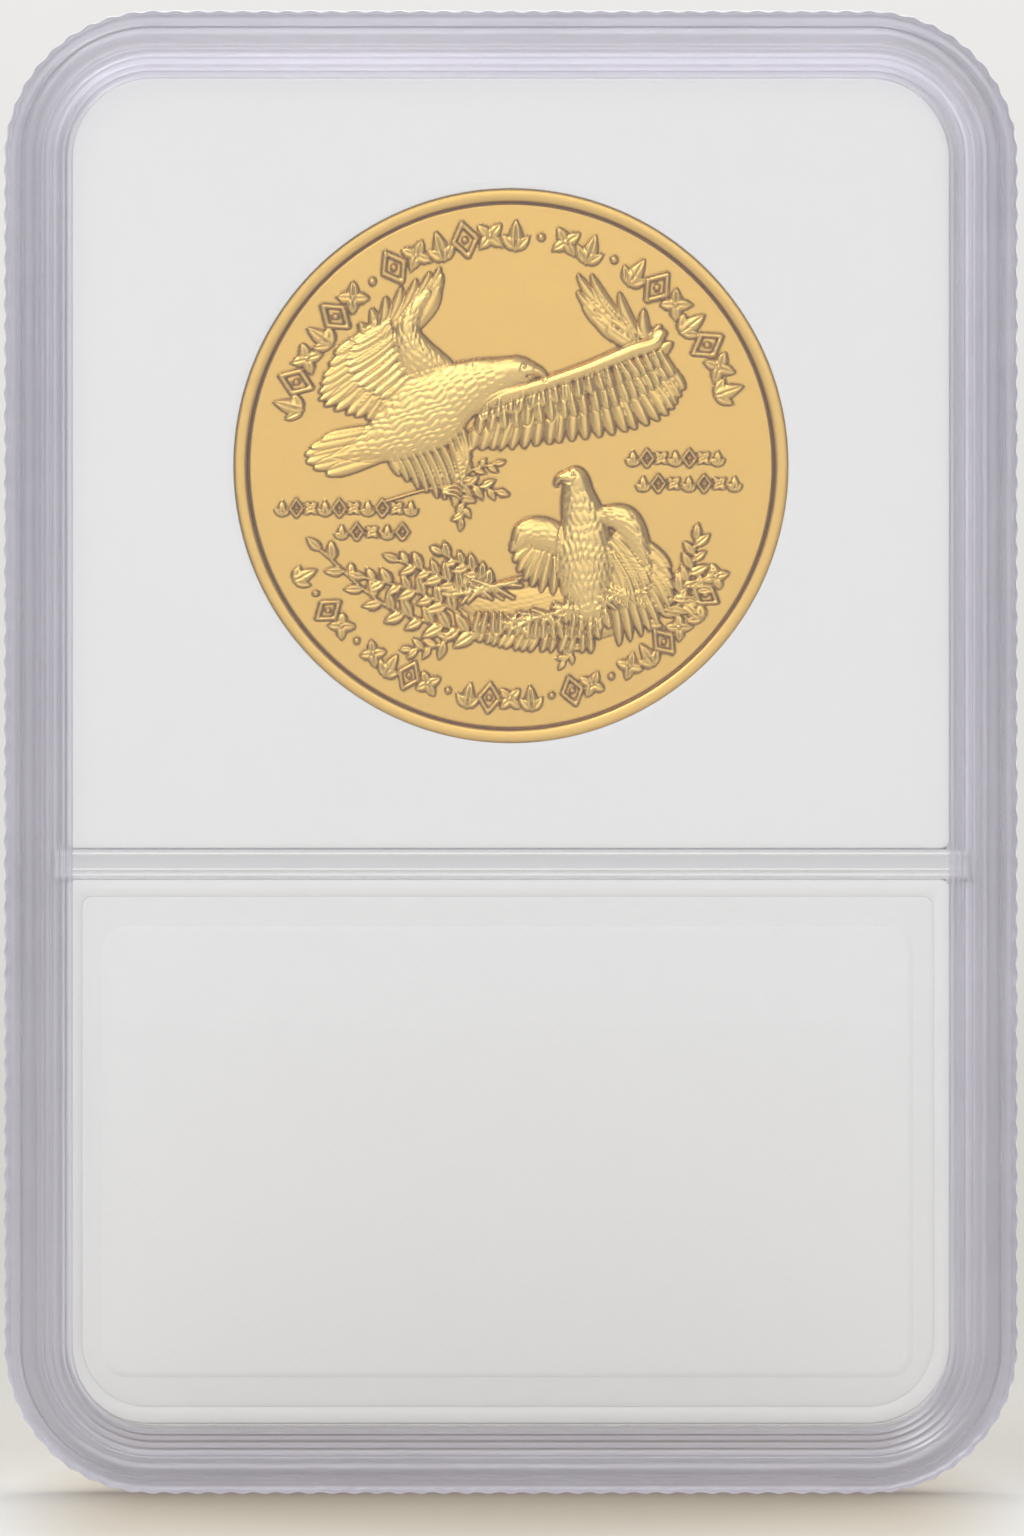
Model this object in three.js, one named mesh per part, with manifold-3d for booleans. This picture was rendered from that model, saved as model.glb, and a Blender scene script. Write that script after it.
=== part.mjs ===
// A sealed coin slab: two clear polystyrene shells, welded round their edge, hold a white
// insert with one coin in the upper bay and a label board with its cards in the lower bay.
//
// Millimetres. +X runs across the slab, +Z up it, and the reverse of the coin faces -Y.
// The slab stands on its bottom edge, with the origin at the middle of that edge.
//
// Every piece is drawn in a flat frame of its own: x across, y up the slab and z out of the
// reverse face, with z = 0 on the plane where the shells meet. The last group turns that frame
// upright, so that flat z becomes -Y.

import * as THREE from "three";
import { mergeVertices } from "three/addons/utils/BufferGeometryUtils.js";
import Module from "manifold-3d";

const wasm = await Module();
wasm.setup();

// ---------- driving dimensions ----------

const slabWidth = 59.8;
const slabHeight = 87.5;
const slabThickness = 8.0;
const cornerRadius = 8.8;
const arcSteps = 8;

// The edge flange, with its finger-grip scallops.
const flangeThickness = 5.2;
const flangeOverlap = 1.2;
const scallopCount = 212;
const scallopDepth = 0.22;
const scallopCrest = 0.44;

// The frame of each shell, as insets from the slab's outline.
const ridgeOuterInset = 0.98;
const ridgeInnerInset = 1.9;
const ridgeDraft = 0.1;
const slopeTopHeight = 3.75;
const slopeFootInset = 2.5;
const slopeFootHeight = 3.45;
const lipInset = 3.05;
const lipDraft = 0.05;
const lipTopHeight = 3.4;
const lipFootHeight = 3.28;
const windowInset = 3.8;
const windowBevel = 0.08;
const windowOuterHeight = 3.2;
const windowInnerHeight = 2.0;
const seamGap = 0.1;

// The weld joint: a tongue on the front shell melts into a groove in the rear one.
const weldInset = 1.8;
const tongueWidth = 0.6;
const tongueHeight = 0.5;
const weldClearance = 0.1;

// The pocket between the shells, and the pieces in it.
const pocketSideInset = 3.45;
const pocketEndInset = 3.75;
const coreThickness = 3.6;
const coreLeft = -26.3;
const coreRight = 25.9;
const coreBottom = 4.13;
const coreTop = 83.55;
const coreRadius = 4.9;
const coreInnerRadius = 0.6;

const dividerBottom = 36.4;
const dividerTop = 37.9;
const dividerThickness = 3.8;
const dividerReach = 26.95;
const dividerClearance = 0.15;
const dividerChamfer = 0.12;
const dividerGrooveWidth = 0.14;
const dividerGrooveDepth = 0.15;
const dividerGrooveHeight = 0.2;

const coinDiameter = 32.7;
const coinThickness = 2.87;
const coinCentreHeight = 60.64;
const coinHoleClearance = 0.15;
const coinRimWidth = 0.74;
const coinFieldDepth = 0.26;
const coinRimBevel = 0.2;
const coinEdgeBevel = 0.12;
const coinSegments = 72;

const trayRim = 1.0;
const trayDepth = 0.55;
const cardThickness = 0.4;
const cardClearance = 0.2;
const foilWidth = 47.8;
const foilHeight = 26.6;
const foilThickness = 0.1;
const foilRadius = 1.5;
const stackGap = 0.05;

// ---------- outlines ----------

const middleHeight = slabHeight / 2;

// Points round a rounded rectangle, anticlockwise from its bottom right corner's arc.
function roundedRectangle(left, right, bottom, top, bottomRadius, topRadius = bottomRadius) {
  const corners = [
    { x: right, y: bottom, radius: bottomRadius, turn: -Math.PI / 2, inX: -1, inY: 1 },
    { x: right, y: top, radius: topRadius, turn: 0, inX: -1, inY: -1 },
    { x: left, y: top, radius: topRadius, turn: Math.PI / 2, inX: 1, inY: -1 },
    { x: left, y: bottom, radius: bottomRadius, turn: Math.PI, inX: 1, inY: 1 },
  ];
  const points = [];
  for (const corner of corners) {
    for (let step = 0; step <= arcSteps; step += 1) {
      const angle = corner.turn + (step / arcSteps) * (Math.PI / 2);
      points.push(
        new THREE.Vector2(
          corner.x + corner.radius * (corner.inX + Math.cos(angle)),
          corner.y + corner.radius * (corner.inY + Math.sin(angle)),
        ),
      );
    }
  }
  return points;
}

// The slab's outline moved inwards, by one inset at the sides and another at the ends.
function insetOutline(sideInset, endInset = sideInset) {
  const side = slabWidth / 2 - sideInset;
  return roundedRectangle(-side, side, endInset, slabHeight - endInset, cornerRadius - sideInset);
}

// The point and outward normal at a distance along the slab's outline, from the middle of its bottom.
function outlineAt(distance) {
  const halfBottom = slabWidth / 2 - cornerRadius;
  const side = slabHeight - 2 * cornerRadius;
  const arc = (cornerRadius * Math.PI) / 2;
  const legs = [
    { length: halfBottom, start: [0, 0], heading: 0 },
    { length: arc, centre: [halfBottom, cornerRadius], from: -Math.PI / 2 },
    { length: side, start: [slabWidth / 2, cornerRadius], heading: Math.PI / 2 },
    { length: arc, centre: [halfBottom, slabHeight - cornerRadius], from: 0 },
    { length: 2 * halfBottom, start: [halfBottom, slabHeight], heading: Math.PI },
    { length: arc, centre: [-halfBottom, slabHeight - cornerRadius], from: Math.PI / 2 },
    { length: side, start: [-slabWidth / 2, slabHeight - cornerRadius], heading: -Math.PI / 2 },
    { length: arc, centre: [-halfBottom, cornerRadius], from: Math.PI },
    { length: halfBottom, start: [-halfBottom, 0], heading: 0 },
  ];
  const around = legs.reduce((sum, leg) => sum + leg.length, 0);
  let left = ((distance % around) + around) % around;
  let index = 0;
  while (index < legs.length - 1 && left > legs[index].length) {
    left -= legs[index].length;
    index += 1;
  }
  const leg = legs[index];
  if (leg.centre) {
    const angle = leg.from + left / cornerRadius;
    const normal = new THREE.Vector2(Math.cos(angle), Math.sin(angle));
    const point = new THREE.Vector2(...leg.centre).addScaledVector(normal, cornerRadius);
    return { point, normal, around };
  }
  const along = new THREE.Vector2(Math.cos(leg.heading), Math.sin(leg.heading));
  const normal = new THREE.Vector2(along.y, -along.x);
  return { point: new THREE.Vector2(...leg.start).addScaledVector(along, left), normal, around };
}

// The flange's outline: each scallop is a short flat crest and a valley.
function scallopedOutline() {
  const { around } = outlineAt(0);
  const pitch = around / scallopCount;
  const points = [];
  for (let index = 0; index < scallopCount; index += 1) {
    const crest = index * pitch;
    points.push(outlineAt(crest - scallopCrest / 2).point);
    points.push(outlineAt(crest + scallopCrest / 2).point);
    const valley = outlineAt(crest + pitch / 2);
    points.push(valley.point.clone().addScaledVector(valley.normal, -scallopDepth));
  }
  return points;
}

// ---------- solids ----------

// A plate between two heights.
function plate(outline, low, high, holes = []) {
  const shape = new THREE.Shape(outline);
  for (const hole of holes) {
    shape.holes.push(new THREE.Path(hole));
  }
  const geometry = new THREE.ExtrudeGeometry(shape, { depth: high - low, bevelEnabled: false });
  return geometry.translate(0, 0, low);
}

// A dished body: rings that follow the slab's outline, closed by a flat face at each end.
// Each ring is [side inset, height] or [side inset, height, end inset], from the window's outer
// face round the edge of the frame to the window's inner face.
function ringBody(rings) {
  const outlines = rings.map(([side, , end]) => insetOutline(side, end));
  const count = outlines[0].length;
  const positions = [];
  outlines.forEach((outline, index) => {
    for (const point of outline) {
      positions.push(point.x, point.y, rings[index][1]);
    }
  });
  const firstCentre = positions.length / 3;
  positions.push(0, middleHeight, rings[0][1]);
  const lastCentre = firstCentre + 1;
  positions.push(0, middleHeight, rings[rings.length - 1][1]);
  const lastRing = (rings.length - 1) * count;
  const faces = [];
  for (let point = 0; point < count; point += 1) {
    const next = (point + 1) % count;
    faces.push(firstCentre, point, next);
    faces.push(lastCentre, lastRing + next, lastRing + point);
    for (let ring = 0; ring < rings.length - 1; ring += 1) {
      const inner = ring * count;
      const outer = inner + count;
      faces.push(inner + point, outer + point, outer + next);
      faces.push(inner + point, outer + next, inner + next);
    }
  }
  const geometry = new THREE.BufferGeometry();
  geometry.setAttribute("position", new THREE.Float32BufferAttribute(positions, 3));
  return geometry.setIndex(faces);
}

function toSolid(geometry) {
  const bare = geometry.clone();
  bare.deleteAttribute("normal");
  bare.deleteAttribute("uv");
  const merged = mergeVertices(bare, 1e-4);
  const mesh = new wasm.Mesh({
    numProp: 3,
    vertProperties: new Float32Array(merged.attributes.position.array),
    triVerts: new Uint32Array(merged.index.array),
  });
  return new wasm.Manifold(mesh);
}

function toGeometry(solid) {
  const mesh = solid.getMesh();
  const geometry = new THREE.BufferGeometry();
  geometry.setAttribute("position", new THREE.BufferAttribute(mesh.vertProperties, 3));
  geometry.setIndex(new THREE.BufferAttribute(mesh.triVerts, 1));
  geometry.computeVertexNormals();
  return geometry;
}

// ---------- pieces ----------

// The rings of a shell's frame and window, with the weld joint's own rings on the seam face.
function shellRings(weldRings) {
  const ridge = slabThickness / 2;
  const flange = flangeThickness / 2;
  const seam = seamGap / 2;
  return [
    [windowInset, windowOuterHeight],
    [windowInset - windowBevel, windowOuterHeight + windowBevel],
    [lipInset + lipDraft, lipFootHeight],
    [lipInset, lipTopHeight],
    [slopeFootInset, slopeFootHeight],
    [ridgeInnerInset + ridgeDraft, slopeTopHeight],
    [ridgeInnerInset, ridge],
    [ridgeOuterInset, ridge],
    [ridgeOuterInset - ridgeDraft, flange],
    [flangeOverlap / 2, flange],
    [flangeOverlap / 2, seam],
    ...weldRings,
    [pocketSideInset, seam, pocketEndInset],
    [pocketSideInset, windowInnerHeight, pocketEndInset],
  ];
}

// One half of the case, with its notches for the divider bar's ends.
function shellGeometry(weldRings) {
  const frame = toSolid(ringBody(shellRings(weldRings)));
  const flange = toSolid(
    plate(scallopedOutline(), seamGap / 2, flangeThickness / 2, [insetOutline(flangeOverlap)]),
  );
  const notchHeight = dividerTop - dividerBottom + 2 * dividerClearance;
  const notchReach = dividerReach + dividerClearance;
  const notch = new THREE.BoxGeometry(2 * notchReach, notchHeight, 2 * windowInnerHeight);
  notch.translate(0, (dividerTop + dividerBottom) / 2, 0);
  return toGeometry(frame.add(flange).subtract(toSolid(notch)));
}

function rearShellGeometry() {
  const half = tongueWidth / 2 + weldClearance;
  const grooveFloor = seamGap / 2 + tongueHeight + weldClearance;
  return shellGeometry([
    [weldInset - half, seamGap / 2],
    [weldInset - half, grooveFloor],
    [weldInset + half, grooveFloor],
    [weldInset + half, seamGap / 2],
  ]);
}

function frontShellGeometry() {
  const half = tongueWidth / 2;
  const tongueTip = seamGap / 2 - tongueHeight;
  return shellGeometry([
    [weldInset - half, seamGap / 2],
    [weldInset - half, tongueTip],
    [weldInset + half, tongueTip],
    [weldInset + half, seamGap / 2],
  ]);
}

// The clear bar between the two bays, with a groove along each face near its lower edge.
function dividerGeometry() {
  const height = dividerTop - dividerBottom;
  const half = dividerThickness / 2;
  const grooveTop = dividerGrooveHeight + dividerGrooveWidth;
  const section = [
    [half - dividerChamfer, 0],
    [half, dividerChamfer],
    [half, dividerGrooveHeight],
    [half - dividerGrooveDepth, dividerGrooveHeight],
    [half - dividerGrooveDepth, grooveTop],
    [half, grooveTop],
    [half, height - dividerChamfer],
    [half - dividerChamfer, height],
  ];
  const mirrored = section.map(([depth, up]) => [-depth, up]).reverse();
  const points = [...section, ...mirrored].map(([depth, up]) => new THREE.Vector2(depth, up));
  const geometry = new THREE.ExtrudeGeometry(new THREE.Shape(points), {
    depth: 2 * dividerReach,
    bevelEnabled: false,
  });
  geometry.rotateY(-Math.PI / 2);
  return geometry.translate(dividerReach, dividerBottom, 0);
}

// The white insert of the upper bay, with the round hole that holds the coin by its edge.
function coinInsertGeometry() {
  const outline = roundedRectangle(
    coreLeft,
    coreRight,
    dividerTop + dividerClearance,
    coreTop,
    coreInnerRadius,
    coreRadius,
  );
  const holeRadius = coinDiameter / 2 + coinHoleClearance;
  const hole = new THREE.Path().absarc(0, coinCentreHeight, holeRadius, 0, 2 * Math.PI);
  return plate(outline, -coreThickness / 2, coreThickness / 2, [hole.getPoints(coinSegments)]);
}

// A plain coin blank with a raised rim on both faces. The struck design is surface detail.
function coinGeometry() {
  const rim = coinThickness / 2;
  const field = rim - coinFieldDepth;
  const radius = coinDiameter / 2;
  const half = [
    [0, field],
    [radius - coinRimWidth - coinRimBevel, field],
    [radius - coinRimWidth, rim],
    [radius - coinEdgeBevel, rim],
    [radius, rim - coinEdgeBevel],
  ];
  const lower = half.map(([distance, height]) => [distance, -height]);
  const profile = [...lower, ...half.reverse()];
  const points = profile.map(([distance, height]) => new THREE.Vector2(distance, height));
  return new THREE.LatheGeometry(points, coinSegments).rotateX(Math.PI / 2);
}

// The outline of the lower bay's pieces, moved inwards by an inset.
function labelOutline(inset) {
  return roundedRectangle(
    coreLeft + inset,
    coreRight - inset,
    coreBottom + inset,
    dividerBottom - dividerClearance - inset,
    coreRadius - inset,
    coreInnerRadius,
  );
}

// The board that fills the lower bay, with a shallow tray for a card on each face.
function labelBoardGeometry() {
  const half = coreThickness / 2;
  const board = toSolid(plate(labelOutline(0), -half, half));
  const tray = labelOutline(trayRim);
  const rearTray = toSolid(plate(tray, half - trayDepth, half + 1));
  const frontTray = toSolid(plate(tray, -half - 1, -half + trayDepth));
  return toGeometry(board.subtract(rearTray).subtract(frontTray));
}

// A card that lies on a tray's floor.
function cardGeometry() {
  const floor = coreThickness / 2 - trayDepth + stackGap;
  return plate(labelOutline(trayRim + cardClearance), floor, floor + cardThickness);
}

// The blank foil patch on the rear card.
function foilGeometry() {
  const middle = (coreBottom + dividerBottom - dividerClearance) / 2;
  const centre = (coreLeft + coreRight) / 2;
  const outline = roundedRectangle(
    centre - foilWidth / 2,
    centre + foilWidth / 2,
    middle - foilHeight / 2,
    middle + foilHeight / 2,
    foilRadius,
  );
  const low = coreThickness / 2 - trayDepth + cardThickness + 2 * stackGap;
  return plate(outline, low, low + foilThickness);
}

// ---------- materials ----------

const looks = {
  clearShell: { color: 0xd9d8e2, roughness: 0.08, metalness: 0, transparent: true, opacity: 0.35 },
  clearBar: { color: 0xd2d2d8, roughness: 0.12, metalness: 0, transparent: true, opacity: 0.5 },
  whiteInsert: { color: 0xe6e6e6, roughness: 0.6, metalness: 0 },
  whiteBoard: { color: 0xe0e0e0, roughness: 0.65, metalness: 0 },
  blankCard: { color: 0xdfdfdf, roughness: 0.75, metalness: 0 },
  printedCard: { color: 0xe9e6dd, roughness: 0.7, metalness: 0 },
  foil: { color: 0xe1e2e4, roughness: 0.35, metalness: 0.3 },
  gold: { color: 0xdcb36c, roughness: 0.3, metalness: 1 },
};

// ---------- assembly ----------

const slab = new THREE.Group();
slab.rotation.x = Math.PI / 2;

function addPiece(name, geometry, look, parent = slab) {
  const mesh = new THREE.Mesh(geometry, new THREE.MeshStandardMaterial(look));
  mesh.name = name;
  parent.add(mesh);
  return mesh;
}

// Pieces drawn facing the reverse, turned about the slab's upright axis to face the front.
const frontSide = new THREE.Group();
frontSide.rotation.y = Math.PI;
slab.add(frontSide);

addPiece("rear_shell", rearShellGeometry(), looks.clearShell);
addPiece("front_shell", frontShellGeometry(), looks.clearShell, frontSide);
addPiece("divider_bar", dividerGeometry(), looks.clearBar);
addPiece("coin_insert", coinInsertGeometry(), looks.whiteInsert);
addPiece("label_board", labelBoardGeometry(), looks.whiteBoard);
addPiece("rear_label", cardGeometry(), looks.blankCard);
addPiece("security_foil", foilGeometry(), looks.foil);

// The front card is the rear card's twin, reached by a half turn about the bay's own middle.
const frontLabel = addPiece("front_label", cardGeometry(), looks.printedCard);
frontLabel.rotation.y = Math.PI;
frontLabel.position.x = coreLeft + coreRight;

const coin = addPiece("coin", coinGeometry(), looks.gold);
coin.position.y = coinCentreHeight;

const part = new THREE.Group();
part.add(slab);

export default part;
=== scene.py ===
"""The looks of a sealed coin slab: clear scalloped shells, white insert, struck gold coin, cards.

Lengths are in millimetres until a mesh is made, when they become metres in the CAD model's frame:
+X across the slab, +Z up it, and the coin's reverse faces -Y. Most pieces are lofts, rings of
points that follow one outline and are joined ring to ring. A piece's height is its distance from
the slab's middle plane: towards -Y where side is 1, and towards +Y where side is -1.
"""

from math import atan2, cos, pi, radians, sin

import bmesh
import bpy
import numpy as np
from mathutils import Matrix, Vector

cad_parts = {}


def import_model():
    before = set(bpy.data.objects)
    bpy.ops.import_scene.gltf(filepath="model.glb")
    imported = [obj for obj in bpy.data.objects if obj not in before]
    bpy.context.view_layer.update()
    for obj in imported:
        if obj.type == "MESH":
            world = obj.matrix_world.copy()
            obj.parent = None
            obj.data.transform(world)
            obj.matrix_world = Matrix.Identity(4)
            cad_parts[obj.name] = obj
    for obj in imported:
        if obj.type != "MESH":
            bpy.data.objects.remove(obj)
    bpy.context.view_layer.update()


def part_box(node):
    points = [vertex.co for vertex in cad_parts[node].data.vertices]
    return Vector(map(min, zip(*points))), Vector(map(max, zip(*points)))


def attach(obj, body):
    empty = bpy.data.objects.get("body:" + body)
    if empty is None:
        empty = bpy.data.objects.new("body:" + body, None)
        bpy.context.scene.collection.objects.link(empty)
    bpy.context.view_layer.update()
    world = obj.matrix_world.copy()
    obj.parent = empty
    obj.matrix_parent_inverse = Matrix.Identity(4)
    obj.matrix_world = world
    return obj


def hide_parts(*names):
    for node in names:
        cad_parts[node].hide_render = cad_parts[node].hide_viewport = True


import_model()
scene = bpy.context.scene

MM = 0.001


# ---- sizes in mm ----


def node_box(node):
    """A CAD node's lowest and highest corners."""
    low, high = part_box(node)
    return np.array(low) / MM, np.array(high) / MM


SHELL_LOW, SHELL_HIGH = node_box("rear_shell")
RIDGE = -SHELL_LOW[1]
SEAM = -SHELL_HIGH[1]
CORNER_RADIUS = 8.8
WINDOW_INNER = 2

SCALLOPS = 212
SCALLOP_DEPTH = 0.11
SCALLOP_POINTS = 8

WINDOW_INSET = 4.12
WINDOW_OUTER = 3.2
FRAME_SLOPE = 0.16
RIBS = (3.99, 3.6, 3.24, 2.8, 2.36)
RIB_HEIGHT = 0.055
RIB_HALF_WIDTH = 0.08
RIDGE_BAND = 0.3

POCKET_INSET = 3.45
POCKET_END_INSET = 3.75
NOTCH_CLEARANCE = 0.15
WELD_GROOVE = 0.6
WELD_TONGUE = 0.5

BAR_LOW, BAR_HIGH = node_box("divider_bar")
BEAD_HEIGHT = 0.09
BEAD_HALF_WIDTH = 0.085
BAR_FIN = 0.13
INSERT_LOW, INSERT_HIGH = node_box("coin_insert")
BOARD_LOW, BOARD_HIGH = node_box("label_board")
REAR_CARD_LOW, REAR_CARD_HIGH = node_box("rear_label")
FOIL_LOW, FOIL_HIGH = node_box("security_foil")
BAY_RADIUS = 4.9
BAY_INNER_RADIUS = 0.6
TRAY_RIM = 1
STACK_GAP = 0.05
CARD_GAP = 0.01
CARD_DROP = 0.005
CARD_EDGE = 0.01
FOIL_RADIUS = 1.5

COIN_LOW, COIN_HIGH = node_box("coin")
COIN_RADIUS = COIN_HIGH[0]
COIN_HALF = COIN_HIGH[1]
COIN_CENTRE = (COIN_LOW[2] + COIN_HIGH[2]) / 2
HOLE_RADIUS = COIN_RADIUS + 0.015
FIELD_DEPTH = 0.26
FIELD_RADIUS = 15.4
RELIEF_GAIN = 1.35
FACE_GRID = 421
# Values kept on the coin's points: relief, which also paints a highlight on raised tops, and hollow, which
# paints shade in recesses.
COIN_VALUES = ("relief", "hollow")
REED_POINTS = 10
REED_DEPTH = 0.07
FULL_RELIEF = 0.35
# The relief value of the rim and edge, which gives them a paler painted-highlight tone.
RIM_TONE = 0.3
MAP_MIDDLES = {1: 0.293, -1: 0.707}
MAP_RADIUS = 0.283


# ---- outlines and lofts ----


def outline(low, high, low_radius, high_radius, count):
    """Points and outward normals, evenly spaced round a rounded rectangle from its base's middle."""
    left, _, bottom = low
    right, _, top = high
    corners = (
        (right - low_radius, bottom + low_radius, low_radius, -90),
        (right - high_radius, top - high_radius, high_radius, 0),
        (left + high_radius, top - high_radius, high_radius, 90),
        (left + low_radius, bottom + low_radius, low_radius, 180),
    )
    start = ((left + right) / 2, bottom, 0, -1)
    path = [start]
    for x, y, radius, first in corners:
        for angle in np.radians(np.linspace(first, first + 90, 65)):
            c, s = cos(angle), sin(angle)
            path.append((x + radius * c, y + radius * s, c, s))
    path.append(start)
    path = np.array(path)
    steps = np.hypot(*np.diff(path[:, :2], axis=0).T)
    distance = np.concatenate([[0], np.cumsum(steps)])
    even = np.arange(count) / count * distance[-1]
    columns = np.array([np.interp(even, distance, column) for column in path.T]).T
    normals = columns[:, 2:] / np.linalg.norm(columns[:, 2:], axis=1)[:, None]
    return columns[:, :2], normals


def ring(points, height, side=1):
    """A loft's ring: flat outline points at a height from the slab's middle plane."""
    return np.column_stack([points[:, 0], np.full(len(points), -side * height), points[:, 1]])


def rings_of(around, profile, side=1):
    """Rings of an outline, moved inwards and raised by a profile of (inset, height)."""
    points, normals = around
    return [ring(points - normals * inset, height, side) for inset, height in profile]


def soften(profile, radius, steps=3):
    """Rounds the inner corners of a list of (inset, height) points."""
    profile = [np.array(point, dtype=float) for point in profile]
    rounded = [profile[0]]
    for before, corner, after in zip(profile, profile[1:], profile[2:]):
        back = before - corner
        on = after - corner
        reach = min(radius, 0.45 * np.linalg.norm(back), 0.45 * np.linalg.norm(on))
        first = corner + back / np.linalg.norm(back) * reach
        last = corner + on / np.linalg.norm(on) * reach
        for t in np.linspace(0, 1, steps):
            rounded.append((1 - t) ** 2 * first + 2 * t * (1 - t) * corner + t**2 * last)
    rounded.append(profile[-1])
    return rounded


def new_object(name, vertices, faces, materials, slots=None):
    """A smooth-shaded mesh object from vertices in mm."""
    mesh = bpy.data.meshes.new(name)
    mesh.from_pydata((np.asarray(vertices) * MM).tolist(), [], faces)
    for material in materials:
        mesh.materials.append(material)
    if slots is not None:
        mesh.polygons.foreach_set("material_index", slots)
    mesh.polygons.foreach_set("use_smooth", [True] * len(mesh.polygons))
    piece = bpy.data.objects.new(name, mesh)
    scene.collection.objects.link(piece)
    return piece


def loft(name, rings, materials, slot_of_band=None, closed=False):
    """Joins rings of equal length into a surface, with a flat cap at each end unless it is closed."""
    count = len(rings[0])
    index = np.arange(len(rings) * count).reshape(len(rings), count)
    here = index if closed else index[:-1]
    there = np.roll(index, -1, axis=0)[: len(here)]
    corners = (here, np.roll(here, -1, axis=1), np.roll(there, -1, axis=1), there)
    faces = np.stack(corners, axis=-1).reshape(-1, 4).tolist()
    slots = np.repeat(slot_of_band or [0] * len(here), count).tolist()
    if not closed:
        faces += [index[0, ::-1].tolist(), index[-1].tolist()]
        slots += [0, 0]
    piece = new_object(name, np.concatenate(rings), faces, materials, slots)
    turn_outwards(piece.data)
    flatten_flats(piece)
    return piece


def turn_outwards(mesh):
    work = bmesh.new()
    work.from_mesh(mesh)
    bmesh.ops.recalc_face_normals(work, faces=work.faces)
    work.to_mesh(mesh)
    work.free()


def flatten_flats(piece):
    """Keeps wide flat faces flat next to their small rounded edges."""
    weighting = piece.modifiers.new("flat_faces", "WEIGHTED_NORMAL")
    weighting.mode = "FACE_AREA"
    weighting.keep_sharp = True


def mount(piece, node):
    """Puts a finished piece in the place of its CAD node."""
    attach(piece, "root")
    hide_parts(node)


# ---- materials ----

BORDER_SPAN = 0.006
RULES = [(0.26, 0), (0.28, 1), (0.4, 1), (0.42, 0), (0.5, 0), (0.52, 1), (0.56, 1), (0.58, 0)]
BLUE_INK = (0.22, 0.33, 0.5, 1)
PAPER = ((0.875, 0.88, 0.89), (0.89, 0.895, 0.905))
RECESS_PAINTED_SHADE = (0.17, 0.07, 0.01, 1)


def new_material(name):
    """A node material with its Principled shader."""
    material = bpy.data.materials.new(name)
    material.use_nodes = True
    return material, material.node_tree, material.node_tree.nodes["Principled BSDF"]


def fill(node, **values):
    """Sets inputs by name, with _ for a space. A socket is linked in, and anything else is a value."""
    for name, value in values.items():
        plug(node, node.inputs[name.replace("_", " ")], value)


def plug(node, socket, value):
    if isinstance(value, bpy.types.NodeSocket):
        node.id_data.links.new(value, socket)
    else:
        socket.default_value = value


def add_node(tree, kind, **values):
    """A new shader node with its inputs filled."""
    node = tree.nodes.new("ShaderNode" + kind)
    fill(node, **values)
    return node


def place_of(tree):
    """Places in the object's own metres."""
    return add_node(tree, "TexCoord").outputs["Object"]


def axes_of(vector):
    """A vector's X, Y and Z."""
    return add_node(vector.id_data, "SeparateXYZ", Vector=vector).outputs


def noise(tree, scale, detail=4):
    """Noise in the object's own metres."""
    texture = add_node(tree, "TexNoise", Vector=place_of(tree), Scale=scale, Detail=detail, Roughness=0.55)
    return texture.outputs["Fac"]


def ramp(value, stops):
    """A colour ramp of (position, colour) stops; a colour may be one number."""
    node = add_node(value.id_data, "ValToRGB", Fac=value)
    elements = node.color_ramp.elements
    while len(elements) < len(stops):
        elements.new(0.5)
    for element, (position, colour) in zip(elements, stops):
        element.position = position
        element.color = (*colour, 1) if isinstance(colour, tuple) else (colour, colour, colour, 1)
    return node.outputs["Color"]


def mottle(value, low, high):
    """Two colours or numbers, mottled by a noise."""
    return ramp(value, [(0.3, low), (0.7, high)])


def sum_of(first, second, operation="ADD"):
    """A Math node of two sockets, or of a socket and a number."""
    socket = first if isinstance(first, bpy.types.NodeSocket) else second
    node = add_node(socket.id_data, "Math")
    node.operation = operation
    plug(node, node.inputs[0], first)
    plug(node, node.inputs[1], second)
    return node.outputs[0]


def times(first, second):
    return sum_of(first, second, "MULTIPLY")


def mixed(share, first, second, blend="MIX"):
    """A share of a second colour mixed into a first."""
    node = add_node(share.id_data, "Mix")
    node.data_type = "RGBA"
    node.blend_type = blend
    fill(node, Factor=share, A=first, B=second)
    return node.outputs["Result"]


def bump(height, distance):
    """A bump of a height that spans a distance in metres."""
    return add_node(height.id_data, "Bump", Height=height, Distance=distance).outputs["Normal"]


def let_lamps_through(shader, tint):
    """Lets lamp light and bounced light pass a clear piece, tinted, so that what it encloses is lit."""
    tree = shader.id_data
    path = add_node(tree, "LightPath").outputs
    passing = sum_of(path["Is Shadow Ray"], path["Is Diffuse Ray"], "MAXIMUM")
    clear = add_node(tree, "BsdfTransparent", Color=(*tint, 1))
    mix = add_node(tree, "MixShader", Fac=passing)
    tree.links.new(shader.outputs[0], mix.inputs[1])
    tree.links.new(clear.outputs[0], mix.inputs[2])
    fill(tree.nodes["Material Output"], Surface=mix.outputs[0])


def clear_window():
    """Polished clear polystyrene."""
    material, tree, shader = new_material("clear_window")
    haze = ramp(noise(tree, 260), [(0.3, 0), (0.8, 0.03)])
    fill(shader, Base_Color=(0.985, 0.985, 0.99, 1), IOR=1.59, Transmission_Weight=1, Roughness=haze)
    let_lamps_through(shader, (0.97, 0.97, 0.97))
    return material


def plastic(name, dark, light, cloud, grain, haze, **values):
    """A plastic with a tone mottled by a cloud, and a roughness within a haze mottled by a grain."""
    material, tree, shader = new_material(name)
    fill(shader, Base_Color=mottle(noise(tree, *cloud), dark, light), **values)
    fill(shader, Roughness=mottle(noise(tree, *grain), *haze))
    return material, tree, shader


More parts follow.
